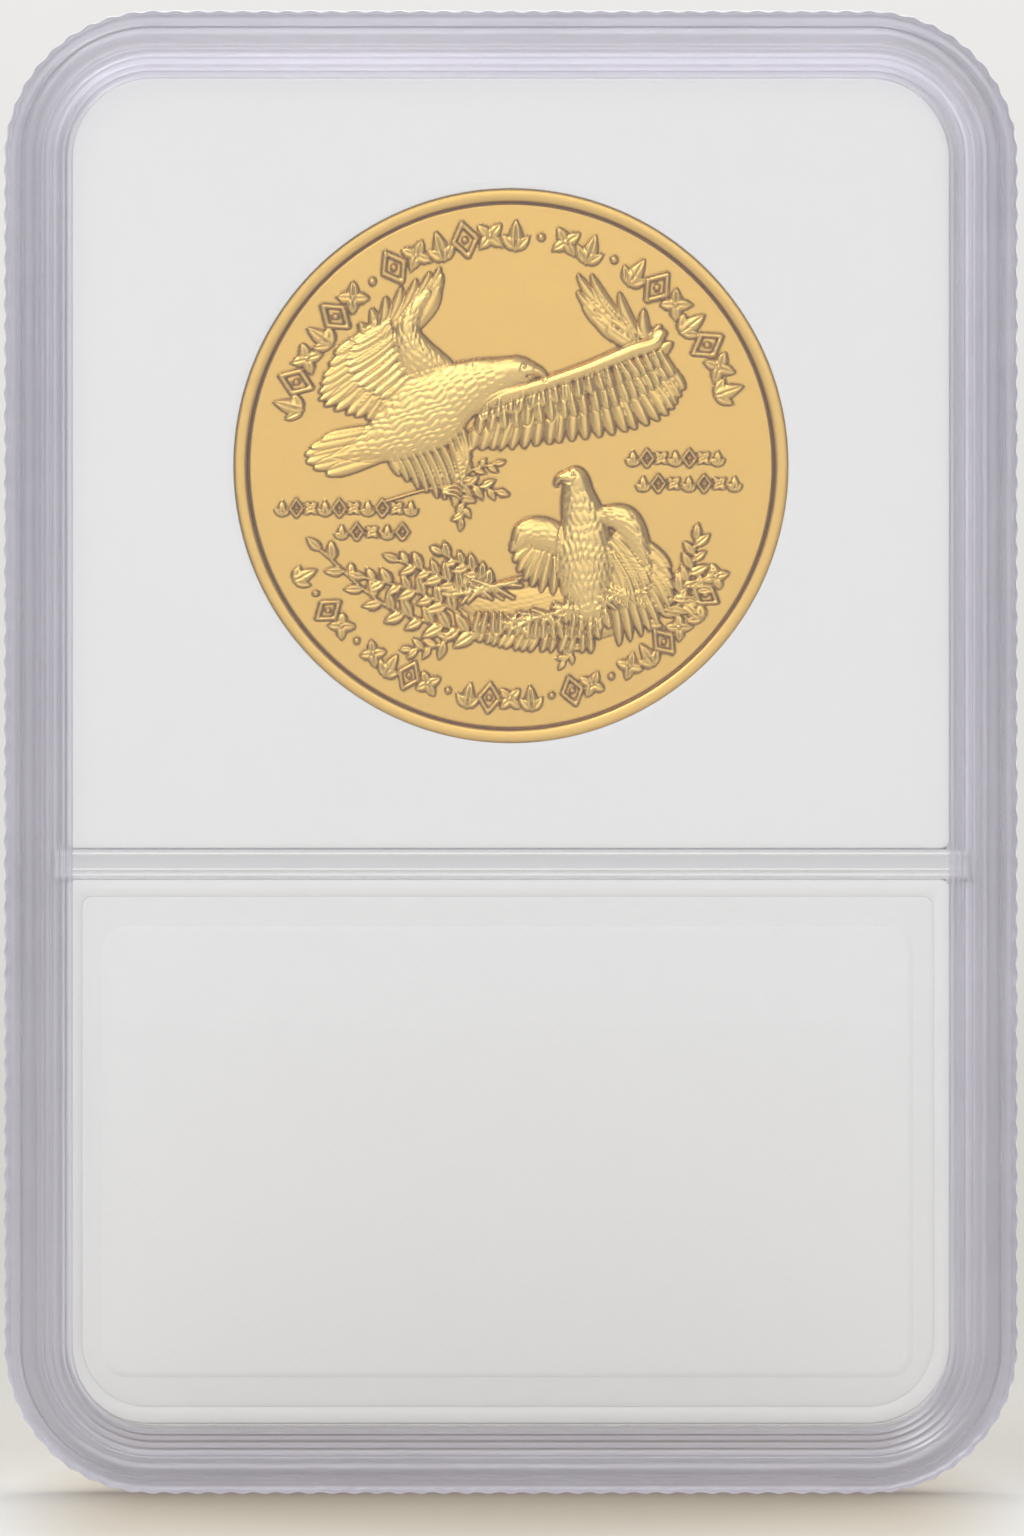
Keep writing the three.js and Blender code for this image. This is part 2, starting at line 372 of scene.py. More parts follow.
def clear_frame(name, dark, light):
    """The shells' thick moulded frame: clear, faintly milky and lavender, with a polished skin."""
    material, _, shader = plastic(name, dark, light, (90, 2), (700, 1), (0.28, 0.36), IOR=1.5)
    fill(shader, Transmission_Weight=0.82, Coat_Weight=1, Coat_Roughness=0.06, Coat_IOR=1.59)
    let_lamps_through(shader, (0.86, 0.86, 0.89))
    return material


def clear_bar(name, clearness, dark, light):
    """Milky clear plastic, for the divider bar, and a paler copy with no transmission for the beads along its
    edges, which is a painted highlight.
    """
    material, _, shader = plastic(
        name, dark, light, (120,), (600,), (0.08, 0.15), IOR=1.55, Transmission_Weight=clearness
    )
    let_lamps_through(shader, (0.8, 0.8, 0.82))
    return material


def white_plastic(name, dark, light):
    """Smooth satin white plastic with a faint cloudiness and a fine moulded grain."""
    material, tree, shader = plastic(name, dark, light, (60, 2), (900,), (0.5, 0.62), IOR=1.5)
    fill(shader, Normal=bump(noise(tree, 5000, 2), 0.000006))
    return material


def card(name):
    """Uncoated card: fine fibres in tone and surface. Returns the material, its nodes and its tone."""
    material, tree, shader = new_material(name)
    stretched = add_node(tree, "Mapping", Vector=place_of(tree), Scale=(900, 900, 3200)).outputs["Vector"]
    fibres = add_node(tree, "TexNoise", Vector=stretched, Scale=1, Detail=3).outputs["Fac"]
    tone = mottle(fibres, *PAPER)
    fill(shader, IOR=1.45, Roughness=0.85, Base_Color=tone, Normal=bump(fibres, 0.00001))
    return material, tree, shader, tone


def inwards(value, low, high):
    """How far a coordinate lies inside the nearer of two ends, all in metres."""
    off_middle = sum_of(sum_of(value, -(low + high) / 2), 0, "ABSOLUTE")
    return sum_of((high - low) / 2, off_middle, "SUBTRACT")


def printed_card():
    """The front card: a pale engine-turned ground inside a double ruled border, with no lettering."""
    material, tree, shader, paper = card("printed_card")
    place = place_of(tree)
    axes = axes_of(place)
    low, high = REAR_CARD_LOW * MM, REAR_CARD_HIGH * MM
    middle = (low + high) / 2
    beside, below = [inwards(axes[k], low[k], high[k]) for k in (0, 2)]
    edge = times(sum_of(beside, below, "MINIMUM"), 1 / BORDER_SPAN)
    waves = []
    for turn in (-1, 1):
        centre = (turn * 0.012 - middle[0], 0, -middle[2])
        shifted = add_node(tree, "Mapping", Vector=place, Location=centre).outputs["Vector"]
        wave = add_node(tree, "TexWave", Vector=shifted, Scale=700)
        wave.wave_type = "RINGS"
        wave.rings_direction = "Y"
        waves.append(wave.outputs["Fac"])
    ground = ramp(times(*waves), [(0.1, 0), (0.9, 0.28)])
    inside = ramp(edge, [(0.58, 0), (0.62, 1)])
    ink = sum_of(ramp(edge, RULES), times(ground, inside), "MAXIMUM")
    fill(shader, Base_Color=mixed(ink, paper, BLUE_INK))
    return material


def foil_sheet():
    """A blank matt foil patch: nearly the card's tone, striped with fine wavy diagonal bands."""
    material, tree, shader = new_material("foil_sheet")
    wave = add_node(tree, "TexWave", Vector=place_of(tree), Scale=900, Distortion=0.4)
    wave.bands_direction = "DIAGONAL"
    colour = ramp(wave.outputs["Fac"], [(0, (0.865, 0.87, 0.88)), (1, PAPER[0])])
    fill(shader, Metallic=0.1, IOR=1.5, Base_Color=colour)
    fill(shader, Roughness=mottle(noise(tree, 500), 0.5, 0.6))
    return material


def struck_gold():
    """Gold: satin fields, raised tops paler and smoother, and recesses mixed towards dark brown, from the
    relief and hollow attributes; the paler tops are a painted highlight and the brown recesses painted shade.
    """
    material, tree, shader = new_material("struck_gold")
    levels = []
    for name in COIN_VALUES:
        attribute = add_node(tree, "Attribute")
        attribute.attribute_name = name
        levels.append(attribute.outputs["Fac"])
    relief, hollow = levels
    lifted = sum_of(relief, times(noise(tree, 1500, 2), 0.12))
    # Painted highlight: the colour grows paler with the relief's height.
    stops = [(0.03, (0.66, 0.42, 0.108)), (0.35, (0.69, 0.445, 0.122)), (1, (0.82, 0.57, 0.195))]
    # Painted shade: hollows are mixed towards a dark brown.
    fill(shader, Metallic=1, Base_Color=mixed(hollow, ramp(lifted, stops), RECESS_PAINTED_SHADE))
    fill(shader, Roughness=ramp(lifted, [(0.03, 0.36), (0.4, 0.3), (1, 0.24)]))
    fill(shader, Normal=bump(noise(tree, 7000, 1), 0.000004))
    return material


# ---- the case ----

SLAB_OUTLINE = outline(SHELL_LOW, SHELL_HIGH, CORNER_RADIUS, CORNER_RADIUS, SCALLOPS * SCALLOP_POINTS)

# The material slots of a shell.
ON_FRAME, ON_WINDOW, ON_RIDGE = range(3)

# Outside the ribs: (inset, height), and then (inset, height, share of the scallops).
RIDGE_PROFILE = [(2.02, 3.66), (1.9, 3.96), (1.22, 3.99), (1.14, 3.8), (1.06, 3.99), (0.98, 3.99)]
FLANGE_PROFILE = [(0.9, 2.66), (0.84, 2.66), (0.8, 2.6), (0.5, 2.6)]
EDGE_PROFILE = [(0.31, 2.6, 0.3), (0.28, 2.63, 0.4), (0.24, 2.63, 0.4), (0.2, 2.59, 0.5)]
EDGE_PROFILE += [(0.08, 2.56, 0.9), (0.02, 2.5, 1), (0, 2.4, 1), (0, 0.3, 1)]
EDGE_PROFILE += [(0.03, 0.16, 1), (0.14, 0.06, 0.8), (0.32, SEAM, 0.3)]


def slab_ring(inset, height, side, end_inset=None, scallop=0):
    """A ring of the slab's outline moved inwards, with scallops of a depth."""
    points, normals = SLAB_OUTLINE
    ends = inset if end_inset is None else end_inset
    moved = points - normals * (inset, ends)
    if scallop:
        turn = np.arange(len(points)) / SCALLOP_POINTS * 2 * pi
        moved = moved - normals * (scallop * (1 - np.cos(turn)) / 2)[:, None]
    return ring(moved, height, side)


def pocket_ring(height, side):
    """A ring of the pocket's wall, notched at both sides for the divider bar's ends."""
    band = slab_ring(POCKET_INSET, height, side, POCKET_END_INSET)
    middle = (BAR_LOW[2] + BAR_HIGH[2]) / 2
    reach = (BAR_HIGH[2] - BAR_LOW[2]) / 2 + NOTCH_CLEARANCE
    inside = np.abs(band[:, 2] - middle) < reach
    neighbours = [inside, np.roll(inside, 1), np.roll(inside, -1)]
    jamb = np.any(neighbours, axis=0) & ~np.all(neighbours, axis=0)
    band[jamb, 2] = middle + np.sign(band[jamb, 2] - middle) * reach
    band[inside, 0] = np.sign(band[inside, 0]) * (BAR_HIGH[0] + NOTCH_CLEARANCE)
    return band


def frame_profile():
    """The moulded frame from the window's edge out to the flange, as (inset, height), with its ribs."""
    profile = [(WINDOW_INSET, WINDOW_OUTER)]
    for rib in RIBS:
        base = WINDOW_OUTER + FRAME_SLOPE * (RIBS[0] - rib)
        for turn in np.linspace(0, pi, 7):
            round_top = base + RIB_HEIGHT * sin(turn)
            profile.append((rib + RIB_HALF_WIDTH * cos(turn), round_top))
    return profile + RIDGE_PROFILE + FLANGE_PROFILE


def shell(name, node, side, weld_profile):
    """One half of the case: window, moulded frame, scalloped flange, weld joint and pocket."""
    profile = soften(frame_profile(), 0.02, 2)
    rings = [slab_ring(*point, side) for point in profile]
    for inset, height, share in EDGE_PROFILE:
        rings.append(slab_ring(inset, height, side, scallop=SCALLOP_DEPTH * share))
    rings += [slab_ring(*point, side) for point in soften(weld_profile, 0.04)]
    rings += [pocket_ring(SEAM, side), pocket_ring(WINDOW_INNER, side)]
    slots = [ON_WINDOW] + [ON_FRAME] * (len(rings) - 2)
    for band, (_, height) in enumerate(profile[1:]):
        if height > RIDGE - RIDGE_BAND:
            slots[band] = ON_RIDGE
    frame_plastic = clear_frame("clear_frame", (0.705, 0.692, 0.745), (0.745, 0.732, 0.78))
    # Painted shade: the ridge band takes a darker copy of the frame's plastic.
    ridge_painted_shade = clear_frame("clear_ridge_painted_shade", (0.59, 0.576, 0.62), (0.625, 0.611, 0.65))
    piece = loft(name, rings, [frame_plastic, clear_window(), ridge_painted_shade], slots)
    for cap in piece.data.polygons[-2:]:
        cap.material_index = ON_WINDOW
        cap.use_smooth = False
    mount(piece, node)


def weld_step(first, last, level):
    """A step from the seam to a level and back, between two insets."""
    step = [(first, SEAM), (first, level), (last, level), (last, SEAM)]
    return [(first - 0.1, SEAM)] + step + [(last + 0.1, SEAM)]


def case():
    """Both halves: the rear one has the weld's groove, and the front one its tongue."""
    shell("rear_case", "rear_shell", 1, weld_step(1.4, 2.2, SEAM + WELD_GROOVE))
    shell("front_case", "front_shell", -1, weld_step(1.5, 2.1, SEAM - WELD_TONGUE))


def divider():
    """The clear bar between the bays: two fine beads by its lower edge, and one by its upper edge, which
    carry a paler material as a painted highlight.
    """
    half = BAR_HIGH[1]
    low, high = BAR_LOW[2], BAR_HIGH[2]
    base = half - BEAD_HEIGHT
    beads = (low + 0.12, low + 0.44, high - 0.15)
    face = [(low - BAR_FIN, base - 0.04), (low, base - 0.04)]
    for bead in beads:
        for turn in np.linspace(0, pi, 9):
            face.append((bead - BEAD_HALF_WIDTH * cos(turn), base + BEAD_HEIGHT * sin(turn)))
    face += [(high, base - 0.04), (high + BAR_FIN, base - 0.04)]
    up, depth = np.array(face + [(up, -depth) for up, depth in face[::-1]]).T
    middle = (low + high) / 2
    end = BAR_HIGH[0]
    rings = []
    for x, shrink in ((-end, 0.93), (0.06 - end, 1), (end - 0.06, 1), (end, 0.93)):
        points = [np.full(len(up), x), -depth * shrink, middle + (up - middle) * shrink]
        rings.append(np.column_stack(points))
    body = clear_bar("clear_bar", 0.35, (0.87, 0.87, 0.895), (0.895, 0.895, 0.915))
    # Painted highlight: the beads get a paler, untinted copy of the bar's plastic.
    painted_highlight = clear_bar("bead_painted_highlight", 0, (0.95, 0.95, 0.96), (0.96, 0.96, 0.97))
    piece = loft("divider", rings, [body, painted_highlight])
    for face in piece.data.polygons:
        up = face.center.z / MM
        face.material_index = int(any(abs(up - bead) < BEAD_HALF_WIDTH for bead in beads))
    mount(piece, "divider_bar")


# ---- the insert, the label board and its cards ----


def insert():
    """The white insert, with the round hole that holds the coin by its edge."""
    around = outline(INSERT_LOW, INSERT_HIGH, BAY_INNER_RADIUS, BAY_RADIUS, 960)
    half = INSERT_HIGH[1]
    centre = np.array([0, COIN_CENTRE])
    rays = around[0] - centre
    rays = rays / np.linalg.norm(rays, axis=1)[:, None]
    rim = [(0.55, half), (0.35, half - 0.012), (0.12, half - 0.03), (0.036, half - 0.066), (0, half - 0.15)]
    rim += [(inset, -height) for inset, height in rim[::-1]]
    rings = rings_of(around, rim)
    hole = [(0.5, -half), (0.06, -half), (0.02, 0.02 - half), (0, 0.06 - half)]
    hole += [(wider, -height) for wider, height in hole[::-1]]
    for wider, height in hole:
        rings.append(ring(centre + rays * (HOLE_RADIUS + wider), height))
    material = white_plastic("white_insert", (0.895, 0.9, 0.91), (0.905, 0.91, 0.92))
    mount(loft("insert", rings, [material], closed=True), "coin_insert")


def bay_outline(inset=0):
    """The board's outline, moved inwards."""
    return outline(BOARD_LOW + inset, BOARD_HIGH - inset, BAY_RADIUS - inset, BAY_INNER_RADIUS, 720)


def label_board():
    """The board of the lower bay, with a tray on each face."""
    half = BOARD_HIGH[1]
    floor = -REAR_CARD_HIGH[1] - STACK_GAP
    tray = [(0.3, floor), (0.04, floor), (0, floor + 0.06), (0, half - 0.01), (-0.01, half)]
    rim = [(0.12, half), (0.03, half - 0.04), (0, half - 0.14)]
    rings = []
    for side in (1, -1):
        face = rings_of(bay_outline(TRAY_RIM), tray, side) + rings_of(bay_outline(), rim, side)
        rings += face[::side]
    material = white_plastic("white_board", (0.89, 0.895, 0.905), (0.9, 0.905, 0.915))
    mount(loft("board", rings, [material]), "label_board")


def card_sheet(name, node, around, heights, side, material, edge=CARD_EDGE):
    """A thin sheet with a softened edge: a card or a foil."""
    near, far = heights
    profile = [(0.4, far), (edge, far), (0.3 * edge, far - 0.3 * edge), (0, far - edge)]
    profile += [(0, near + edge), (edge, near)]
    mount(loft(name, rings_of(around, profile, side), [material]), node)


def labels():
    """The cards, nearly flush with the board, and the thin foil on the rear one."""
    around = bay_outline(TRAY_RIM + CARD_GAP)
    top = BOARD_HIGH[1] - CARD_DROP
    heights = (-REAR_CARD_HIGH[1], top)
    blank = card("blank_card")[0]
    card_sheet("rear_card", "rear_label", around, heights, 1, blank)
    card_sheet("front_card", "front_label", around, heights, -1, printed_card())
    around = outline(FOIL_LOW, FOIL_HIGH, FOIL_RADIUS, FOIL_RADIUS, 480)
    heights = (top + 0.002, top + 0.012)
    card_sheet("foil", "security_foil", around, heights, 1, foil_sheet(), edge=0.004)


# ---- the coin's relief ----

FEATHER_TILT = 0.03
FINE_GROOVE = (0.04, 0.07)
BODY_GROOVE_WIDTH = 0.09
GROOVE_LIMIT = -0.02


def smooth_curve(points, steps):
    """A Catmull-Rom curve through the rows of points, whatever columns follow x and y."""
    points = np.asarray(points, dtype=float)
    padded = np.vstack([2 * points[0] - points[1], points, 2 * points[-1] - points[-2]])
    rows = []
    for start in range(len(points) - 1):
        a, b, c, d = padded[start : start + 4]
        for t in np.linspace(0, 1, steps, endpoint=False):
            bend = (2 * a - 5 * b + 4 * c - d) * t**2 + (3 * b - a - 3 * c + d) * t**3
            rows.append((2 * b + (c - a) * t + bend) / 2)
    rows.append(points[-1])
    return np.array(rows)


def measure(x, y, line):
    """Where points lie about a line: how far along it (mm), how far to its left, and its columns there."""
    step = np.diff(line[:, :2], axis=0)
    lengths = np.hypot(*step.T)
    starts = np.concatenate([[0], np.cumsum(lengths)])
    dx = x[:, None] - line[:-1, 0]
    dy = y[:, None] - line[:-1, 1]
    t = np.clip((dx * step[:, 0] + dy * step[:, 1]) / lengths**2, 0, 1)
    distance = np.hypot(dx - t * step[:, 0], dy - t * step[:, 1])
    nearest = distance.argmin(axis=1)
    here = (np.arange(len(x)), nearest)
    left = np.sign(step[nearest, 0] * dy[here] - step[nearest, 1] * dx[here])
    t = t[here]
    columns = line[nearest, 2:].T * (1 - t) + line[nearest + 1, 2:].T * t
    return starts[nearest] + t * lengths[nearest], distance[here] * left, columns, starts[-1]


def ripple(x, y):
    """A smooth wandering number between about -1 and 1."""
    waves = np.sin(1.9 * x + 2.3 * y + 0.4) + np.sin(-2.7 * x + 1.3 * y + 2.1)
    return (waves + np.sin(0.8 * x - 3.1 * y + 4)) / 3


def shingles(u, v):
    """Overlapping rounded scale feathers, one unit each way; 0 to 1."""
    best = np.zeros_like(u)
    for back in (0, 1):
        row = np.floor(u) - back
        offset = (row % 2) / 2
        du = u - row
        dv = v - (np.round(v - offset) + offset)
        inside = 1 - (du - 0.4) ** 2 - (dv / 0.62) ** 2
        best = np.maximum(best, np.sqrt(np.clip(inside, 0, 1)) * (0.5 + 0.4 * np.clip(du, 0, 1.3)))
    return best


def dome(q):
    """A rounded section: 1 at its middle, and 0 where q is 1 or more."""
    return np.sqrt(np.clip(1 - q**2, 0, 1))


def polar(radius, angle):
    return radius * np.array([cos(angle), sin(angle)])


class Relief:
    """The struck surface of one coin face: heights in mm above the field, at points in mm."""

    def __init__(self, x, y):
        self.x, self.y = x, y
        self.height = np.zeros_like(x)

    def near(self, points, reach):
        low = points.min(axis=0) - reach
        high = points.max(axis=0) + reach
        inside = (self.x > low[0]) & (self.x < high[0]) & (self.y > low[1]) & (self.y < high[1])
        return np.nonzero(inside)[0]

    def about(self, line, reach):
        """The points near a line, and where they lie about it."""
        index = self.near(line[:, :2], reach)
        return index, *measure(self.x[index], self.y[index], line)

    def strike(self, index, across, half, height, detail=0, foot=0.3, groove=FINE_GROOVE):
        """Raises a rounded form inside a groove of a depth and width, which makes its edge look dark."""
        depth, width = groove
        gap = np.abs(across) - half
        sink = depth * np.clip(1 - gap / width, 0, 1) * (gap > 0)
        self.height[index] = np.maximum(self.height[index] - sink, GROOVE_LIMIT)
        q = across / half
        form = height * (foot + (1 - foot) * dome(q)) + detail
        inside = np.abs(q) < 1
        kept = index[inside]
        self.height[kept] = np.maximum(self.height[kept], form[inside])

    def body(self, points, plumage=None, outline=0.05):
        """A rounded form on a spine of x, y, half width and height; plumage is feather length and depth."""
        line = smooth_curve(points, 10)
        index, along, across, (half, height), _ = self.about(line, line[:, 2].max() + 0.2)
        detail = 0
        if plumage:
            length, depth = plumage
            drift = 0.35 * ripple(self.x[index] * 1.4, self.y[index] * 1.4)
            cover = np.clip((1 - np.abs(across) / half) * 5, 0, 1)
            detail = depth * (shingles(along / length + drift, across / length / 0.62 + drift) - 0.5) * cover
        self.strike(index, across, half, height, detail, groove=(outline, BODY_GROOVE_WIDTH))

    def feather(self, root, tip, width, height, bend=0, blunt=0.35):
        """One feather: a rounded strand from root to tip, bowed to its left by bend."""
        root, tip = np.array([root, tip], dtype=float)
        way = tip - root
        left = np.array([-way[1], way[0]])
        middle = (root + tip) / 2 + left * bend
        t = np.linspace(0, 1, 14)[:, None]
        line = (1 - t) ** 2 * root + 2 * t * (1 - t) * middle + t**2 * tip
        index, along, across, _, length = self.about(line, width)
        part = along / length
        half = width / 2 * (0.6 + 0.4 * np.clip(part / 0.6, 0, 1))
        half = np.maximum(half * dome(np.clip(1 - (1 - part) / blunt, 0, 1)), 1e-4)
        q = across / half
        self.strike(index, across, half, height, FEATHER_TILT * q * dome(q), foot=0.35)

    def fan(self, roots, tips, count, width, height, **feather):
        """A row of feathers from a curve of roots to a curve of tips; each lies over the one before."""
        root_line = smooth_curve(roots, 16)
        tip_line = smooth_curve(tips, 16)
        for k in range(count):
            t = k / (count - 1)
            root = root_line[round(t * (len(root_line) - 1))]
            tip = tip_line[round(t * (len(tip_line) - 1))]
            self.feather(root, tip, width, height * (1 + 0.05 * sin(k * 2.4)), **feather)

    def leaf(self, foot, angle, length, width, height):
        """A pointed leaf with a sunk midrib."""
        foot = np.asarray(foot, dtype=float)
        ahead = polar(1, angle)
        index = self.near(np.array([foot, foot + length * ahead]), width)
        dx, dy = self.x[index] - foot[0], self.y[index] - foot[1]
        part = (dx * ahead[0] + dy * ahead[1]) / length
        along = (part > 0) & (part < 1)
        index, part = index[along], part[along]
        across = (dy * ahead[0] - dx * ahead[1])[along]
        half = np.maximum(width / 2 * np.sin(part**0.8 * pi), 1e-5)
        self.strike(index, across, half, height, -0.35 * height * np.exp(-((across / 0.06) ** 2)))

    def strand(self, points, height):
        """A round twig or cord on a curve of x, y and half width."""
        line = smooth_curve(points, 8)
        index, _, across, (half,), _ = self.about(line, line[:, 2].max() + 0.1)
        self.strike(index, across, half, height)

    def dot(self, centre, radius, height):
        index = self.near(np.array([centre]), radius + 0.1)
        self.strike(index, np.hypot(self.x[index] - centre[0], self.y[index] - centre[1]), radius, height)

    def carve(self, points, depth):
        """A groove on a curve of x, y and half width."""
        line = smooth_curve(points, 8)
        index, _, across, (half,), _ = self.about(line, 2 * line[:, 2].max())
        self.height[index] -= depth * np.exp(-((across / half) ** 2))

    def sprig(self, stem, leaves, length, width, height, spread=0.75):
        """A stem with leaves in pairs along it and one at its tip."""
        self.strand([(x, y, 0.09) for x, y in stem], height * 0.8)
        line = smooth_curve(stem, 16)
        for k in range(leaves):
            t = (k + 0.7) / (leaves + 0.4)
            at = round(t * (len(line) - 2))
            heading = atan2(*(line[at + 1] - line[at])[::-1])
            side = 1 if k % 2 else -1
            size = 1 - 0.25 * t + 0.1 * sin(k * 1.7)
            self.leaf(line[at], heading + side * spread, length * size, width * size, height)
        heading = atan2(*(line[-1] - line[-3])[::-1])
        self.leaf(line[-1], heading, length * 0.8, width * 0.8, height)


# ---- the coin's two designs ----


def far_wing(rel):
    tips = [(-9.5, 7.6), (-8.4, 9.1), (-6.9, 10.3), (-5.2, 11.2), (-4.1, 11.7), (-4.2, 10.6)]
    rel.fan([(-8.6, 6.2), (-7.8, 7.6), (-6.8, 8.2), (-5.8, 8)], tips, 10, 0.76, 0.18, bend=-0.16, blunt=0.5)
    tips = [(-10.4, 6.6), (-11.2, 4.9), (-11.2, 3.7), (-9.6, 3), (-7.9, 2.6)]
    rel.fan([(-8, 8.4), (-7.4, 7), (-6.6, 5.2)], tips, 12, 0.76, 0.19, bend=0.1)
    tips = [(-9.2, 7.2), (-9.7, 5.9), (-9, 4.7), (-7.7, 4)]
    rel.fan([(-7.2, 8.5), (-6.8, 7.2), (-6, 5.4)], tips, 10, 0.66, 0.23, bend=0.08)
    arm = [(-4.6, 5.2, 1.5, 0.22), (-5.7, 6.6, 1.2, 0.28), (-6.1, 7.9, 0.8, 0.28), (-5.7, 9.1, 0.5, 0.26)]
    rel.body(arm + [(-4.9, 10.2, 0.28, 0.22)], plumage=(0.6, 0.06), outline=0.03)


def near_wing(rel):
    tips = [(9.5, 7.3), (8.4, 8.8), (6.4, 10.2), (4.2, 11.5), (3.9, 10.3), (4.5, 9.1), (5.7, 8.2)]
    rel.fan([(8, 5.4), (8.6, 5.9), (8.3, 6.8), (7.4, 7)], tips, 10, 0.84, 0.18, bend=0.13, blunt=0.5)
    tips = [(10.2, 4.5), (9.1, 2.9), (6.4, 1.9), (3.2, 1.4), (0.2, 1), (-2.4, 0.9)]
    rel.fan([(9, 6.4), (4.6, 4.9), (-1.6, 3)], tips, 22, 0.76, 0.18, bend=-0.06)
    tips = [(9.6, 5.3), (7.6, 4), (4.8, 3.1), (1.6, 2.5), (-1.9, 1.9)]
    rel.fan([(8.8, 6.7), (4.4, 5.3), (-1.6, 3.4)], tips, 20, 0.64, 0.23, bend=-0.06)
    tips = [(8.8, 5.8), (7, 5), (4.4, 4.1), (1.4, 3.4), (-1.5, 2.7)]
    rel.fan([(8.4, 6.8), (4.2, 5.5), (-1.4, 3.7)], tips, 18, 0.58, 0.27, bend=-0.06)
    arm = [(-2.4, 3.7, 0.8, 0.24), (0.8, 4.5, 0.42, 0.28), (4.2, 5.6, 0.4, 0.3), (7.2, 6.8, 0.45, 0.31)]
    rel.body(arm + [(8.4, 7.2, 0.42, 0.3), (8.9, 7.8, 0.28, 0.22)])


def flying_bird(rel):
    far_wing(rel)
    tail = [(-11.2, 1.5), (-12.1, 0.8), (-12, 0.1), (-10.9, -0.5)]
    rel.fan([(-7.6, 2.3), (-7, 0.7)], tail, 6, 0.85, 0.17, blunt=0.3)
    near_wing(rel)
    legs = [(-6.6, -0.6), (-5.2, -1.5), (-3.9, -2), (-3, -1.4), (-2.6, -0.2)]
    rel.fan([(-7.4, 0.8), (-5.2, 1.2), (-3, 2.4)], legs, 11, 0.58, 0.2, bend=0.12, blunt=0.6)
    trunk = [(-10.4, 0.6, 0.12, 0.12), (-8.6, 1, 0.85, 0.21), (-6.9, 1.9, 1.75, 0.27)]
    trunk += [(-5, 3.2, 2.35, 0.31), (-3.3, 4.3, 1.8, 0.33), (-1.6, 5.1, 1.25, 0.33)]
    trunk += [(0, 5.5, 0.88, 0.33), (0.6, 5.6, 0.8, 0.33)]
    rel.body(trunk, plumage=(0.62, 0.07), outline=0.035)
    rel.body([(-0.6, 5.5, 0.84, 0.34), (0.4, 5.68, 0.78, 0.35), (1.1, 5.62, 0.54, 0.32)], outline=0)
    beak = [(1, 5.68, 0.4, 0.31), (1.6, 5.56, 0.32, 0.28), (2, 5.3, 0.19, 0.24)]
    rel.body(beak + [(2.06, 5.04, 0.08, 0.18)])
    rel.carve([(0.95, 5.34, 0.05), (1.6, 5.32, 0.04)], 0.09)
    rel.dot((0.8, 5.86), 0.12, 0.4)


def held_sprig(rel):
    rel.strand([(-7.4, -2.1, 0.07), (-5.4, -1.5, 0.09), (-3.6, -1.1, 0.09)], 0.15)
    rel.sprig([(-3.9, -1.2), (-2.6, -1.1), (-0.9, -1.5)], 7, 1.15, 0.62, 0.2)
    rel.sprig([(-3.4, -1.3), (-2.8, -2.2), (-2.9, -3.1)], 5, 1, 0.55, 0.18)
    rel.sprig([(-3.2, -1), (-2.2, -0.2), (-1, 0.1)], 5, 0.95, 0.5, 0.18)
    for toe in range(3):
        joints = [(-4, -1.4 - 0.1 * toe, 0.13), (-3.3, -1.15 - 0.28 * toe, 0.12)]
        rel.strand(joints + [(-2.9, -1.35 - 0.32 * toe, 0.06)], 0.26)


def nest(rel):
    """A bed, crossing twigs over it, then a fringe of hanging grass."""
    bed = [(-3.2, -7.9, 0.3, 0.06), (-1.2, -8.3, 1, 0.1), (2, -8.6, 1.5, 0.1), (5, -8.7, 1.5, 0.1)]
    rel.body(bed + [(7.8, -8.2, 0.9, 0.08)], plumage=(0.5, 0.03))
    for k in range(60):
        x = -2.4 + 9.8 * ((k * 0.618) % 1)
        y = -7.1 - 2.5 * ((k * 0.382 + 0.2) % 1)
        tilt = 0.55 * sin(k * 1.9)
        reach = 0.9 + 0.35 * sin(k * 3.3)
        twig = [(x - reach, y - tilt, 0.13), (x, y + 0.12, 0.19), (x + reach, y + tilt, 0.11)]
        rel.strand(twig, 0.25 + 0.06 * sin(k * 2.7))
    tips = [(-2.3, -10.3), (0.6, -10.9), (4.7, -11)]
    rel.fan([(-1.9, -9.3), (4.6, -9.7)], tips, 15, 0.5, 0.2, bend=0.05)
    tips = [(-2.2, -9.8), (1.4, -10.2), (5.2, -10.2)]
    rel.fan([(-1.9, -8.7), (5, -9.1)], tips, 15, 0.5, 0.25, bend=-0.05)


def sprigs(rel):
    rel.sprig([(-1.2, -10), (-4.2, -9.4), (-7.6, -8.1), (-11.2, -5)], 17, 1.5, 0.78, 0.2)
    rel.sprig([(-3, -8.7), (-5.6, -7.4), (-8.6, -6.6)], 11, 1.35, 0.72, 0.22)
    rel.sprig([(-2.2, -7.8), (-4, -6.6), (-6.6, -5.6)], 11, 1.35, 0.72, 0.24)
    rel.sprig([(-1.2, -7.3), (-2.2, -6.2), (-4, -5.2)], 9, 1.2, 0.66, 0.25)
    rel.sprig([(-3.2, -10), (-4.6, -10.7), (-5.8, -10.8)], 6, 1.1, 0.55, 0.18)
    rel.sprig([(3, -10.3), (3.6, -10.9), (3.2, -11.5)], 5, 0.9, 0.45, 0.18)
    rel.sprig([(7.4, -9.4), (9.6, -7.9), (10.6, -6.3), (10.9, -4.4)], 13, 1.4, 0.7, 0.2)
    rel.sprig([(9.2, -8.5), (10.8, -7.7), (11.6, -6.6)], 7, 1.1, 0.55, 0.18)


